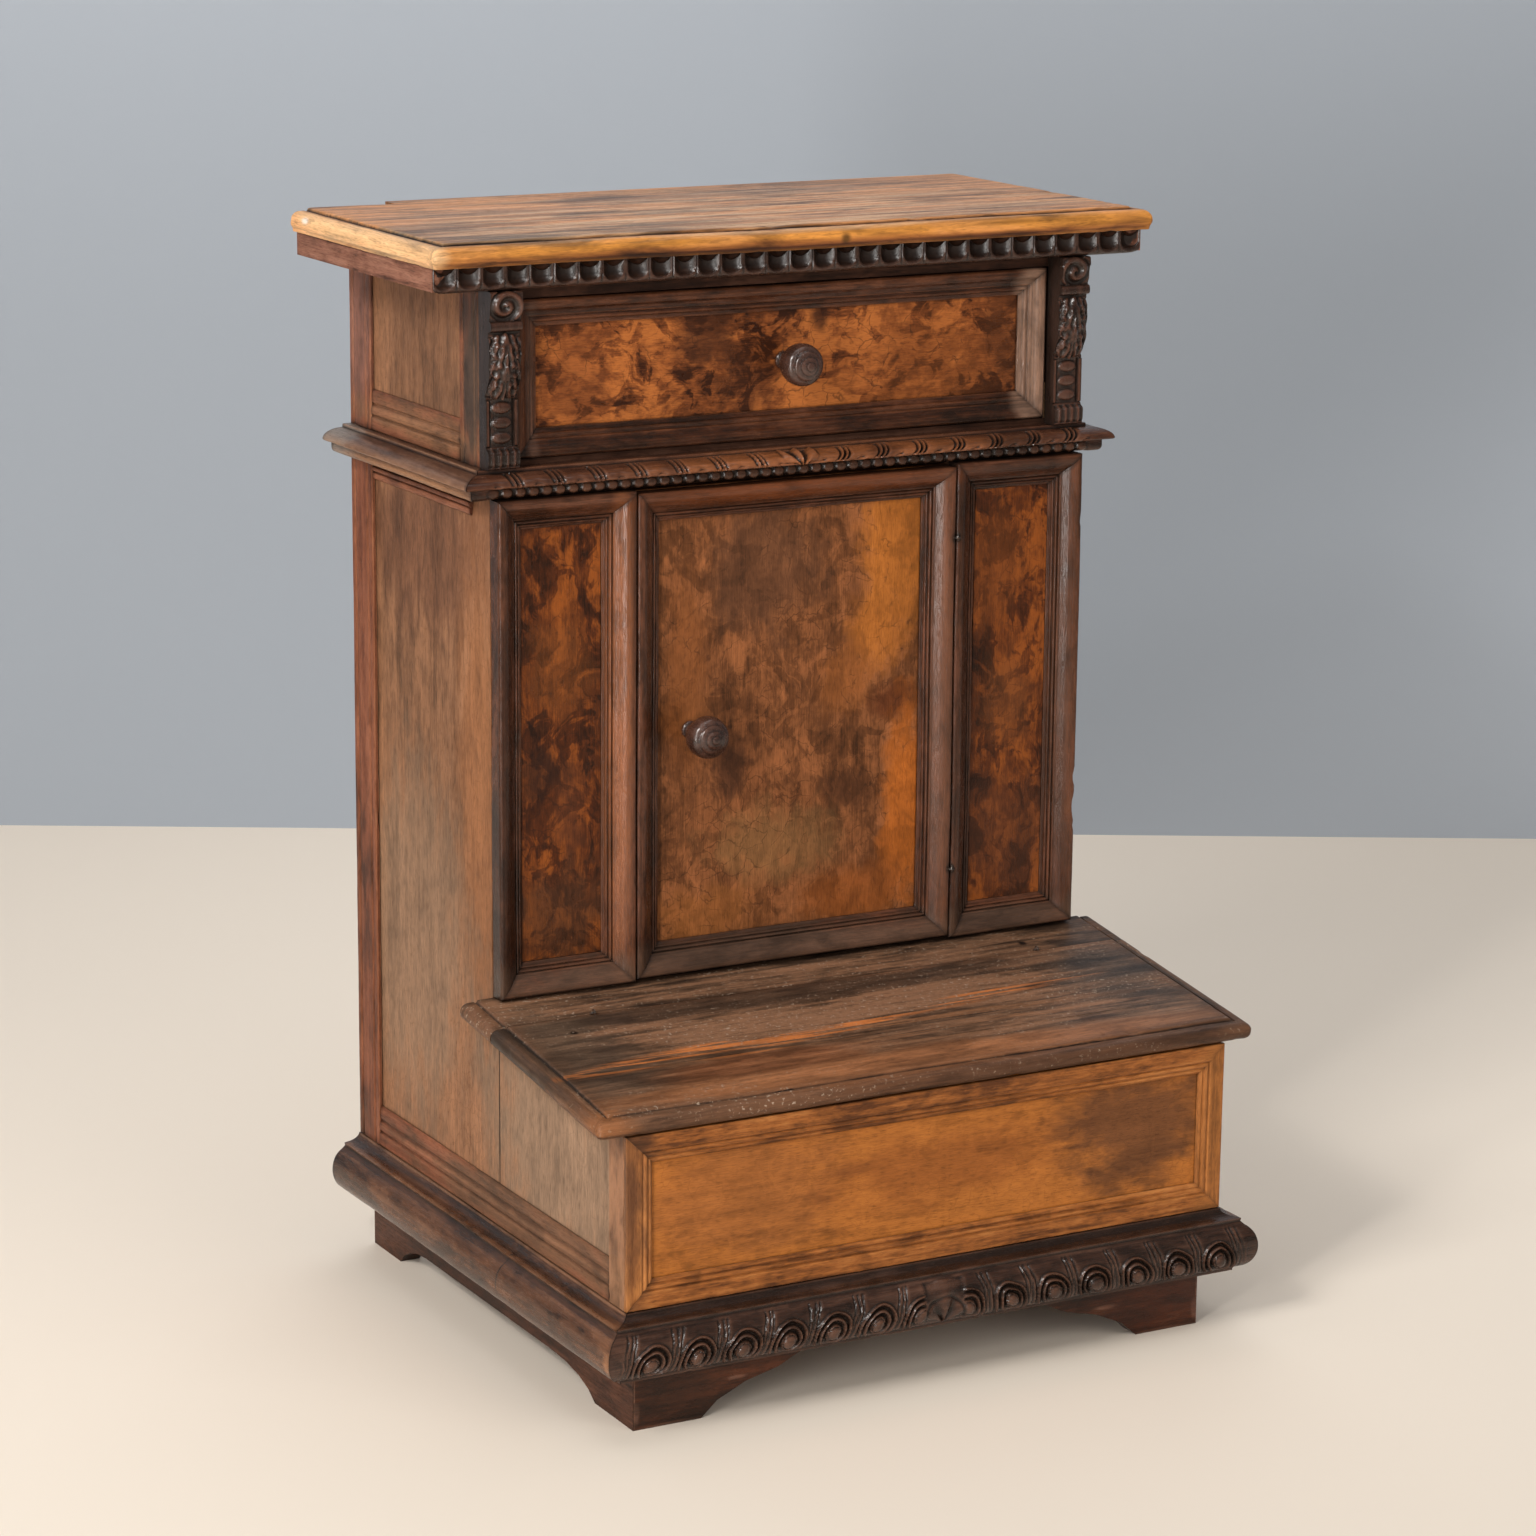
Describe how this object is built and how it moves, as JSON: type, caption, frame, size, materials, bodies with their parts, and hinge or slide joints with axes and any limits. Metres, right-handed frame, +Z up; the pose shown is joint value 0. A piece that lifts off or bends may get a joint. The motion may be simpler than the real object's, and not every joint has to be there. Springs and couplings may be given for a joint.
{
  "type": "prie-dieu",
  "caption": "Kneeling desk with a flat overhanging top, a drawer over a framed door, and a sloping kneeling board whose lid lifts over a low box, on a moulded base with bracket feet.",
  "frame": {"origin": "on the floor, under the middle of the part's bounding box", "axes": "+Z up, -Y towards the person who kneels (the front), +X towards that person's right"},
  "size_m": [0.67, 0.5531, 0.92],
  "materials": {
    "top_walnut": "worn wax over honey-brown walnut",
    "dark_walnut": "dark polished patina",
    "burr_walnut": "mottled burr, polished",
    "frame_walnut": "reddish-brown polish",
    "side_walnut": "dull olive-brown wax",
    "amber_walnut": "orange-brown wax with dark stains",
    "inside_poplar": "bare wood",
    "iron": "dark forged wire"
  },
  "bodies": {
    "case": {"top_board": "top_walnut", "top_band_left": "top_walnut", "top_band_right": "top_walnut", "fluted_strip": "dark_walnut", "corbel_left": "dark_walnut", "corbel_right": "dark_walnut", "side_board_left": "side_walnut", "side_board_right": "side_walnut", "kneeler_side_left": "side_walnut", "kneeler_side_right": "side_walnut", "back_board": "inside_poplar", "case_floor": "inside_poplar", "cupboard_floor": "inside_poplar", "drawer_bed": "inside_poplar", "drawer_guide_left": "inside_poplar", "drawer_guide_right": "inside_poplar", "drawer_top_rail": "frame_walnut", "lower_front_board": "frame_walnut", "front_post_left": "frame_walnut", "front_post_right": "frame_walnut", "pilaster_panel_left": "burr_walnut", "pilaster_panel_right": "burr_walnut", "pilaster_frame_left": "frame_walnut", "pilaster_frame_right": "frame_walnut", "post_loop_low": "iron", "post_loop_high": "iron", "upper_side_frame_left": "side_walnut", "upper_side_frame_right": "side_walnut", "lower_side_frame_left": "side_walnut", "lower_side_frame_right": "side_walnut", "waist_moulding_front": "frame_walnut", "waist_moulding_left": "frame_walnut", "waist_moulding_right": "frame_walnut", "base_moulding_front": "dark_walnut", "base_moulding_left": "frame_walnut", "base_moulding_right": "frame_walnut", "side_skirt_left": "frame_walnut", "side_skirt_right": "frame_walnut", "front_foot_left": "frame_walnut", "front_foot_right": "frame_walnut", "kneeler_front": "amber_walnut", "kneeler_front_frame": "amber_walnut", "kneeler_rear_strip": "dark_walnut", "strip_loop_left": "iron", "strip_loop_right": "iron"},
    "lid": {"kneeler_lid": "dark_walnut", "lid_loop_left": "iron", "lid_loop_right": "iron"},
    "door": {"door_panel": "amber_walnut", "door_frame": "frame_walnut", "door_knob": "dark_walnut", "door_loop_low": "iron", "door_loop_high": "iron"},
    "drawer": {"drawer_front": "burr_walnut", "drawer_front_frame": "dark_walnut", "drawer_knob": "dark_walnut", "drawer_side_left": "inside_poplar", "drawer_side_right": "inside_poplar", "drawer_back": "inside_poplar", "drawer_bottom": "inside_poplar"}
  },
  "joints": [
    {"name": "drawer_slide", "type": "slide", "parent": "case", "child": "drawer", "axis": [0, -1, 0], "range_m": [0, 0.17]},
    {"name": "door_hinge", "type": "hinge", "parent": "case", "child": "door", "pos_m": [0.1511, -0.0219, 0.505], "axis": [0, 0, 1], "range_deg": [0, 175]},
    {"name": "lid_hinge", "type": "hinge", "parent": "case", "child": "lid", "pos_m": [0, -0.06359, 0.29169], "axis": [-1, 0, 0], "range_deg": [0, 85]}
  ]
}
